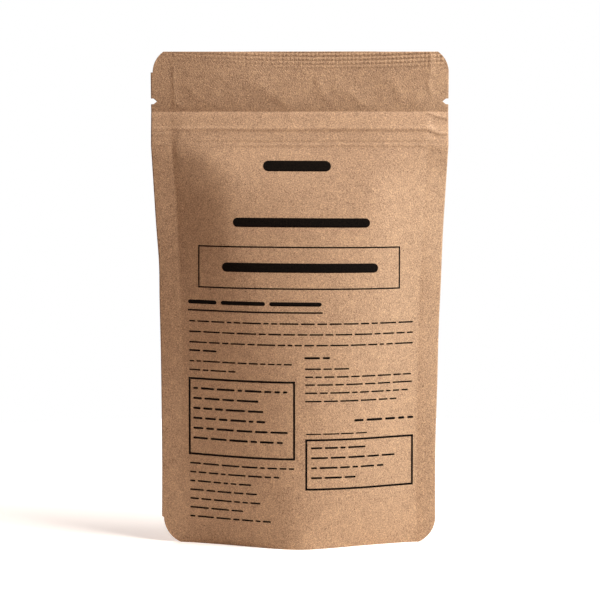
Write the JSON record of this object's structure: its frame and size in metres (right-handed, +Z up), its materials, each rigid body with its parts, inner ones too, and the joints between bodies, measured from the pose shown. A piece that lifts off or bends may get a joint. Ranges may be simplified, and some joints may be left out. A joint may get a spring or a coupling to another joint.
{
  "type": "stand-up pouch",
  "caption": "Filled, sealed kraft paper stand-up pouch with an inside press-to-close zip, tear notches, rounded corners and a folded bottom gusset.",
  "frame": {"origin": "centre of the bounding box in x and y, on the surface that the pouch stands on", "axes": "+Z up, -Y out of the printed panel, +X across the pouch to the right of that panel"},
  "size_m": [0.18, 0.0568, 0.2988],
  "materials": {
    "kraft_laminate": "matte",
    "kraft_gusset": "matte",
    "zip_plastic": "satin",
    "tamarind_flesh": "satin"
  },
  "bodies": {
    "root": {"front_panel": "kraft_laminate", "back_panel": "kraft_laminate", "bottom_gusset": "kraft_gusset", "zip_rib": "zip_plastic", "zip_groove": "zip_plastic", "tamarind_filling": "tamarind_flesh"}
  },
  "joints": []
}
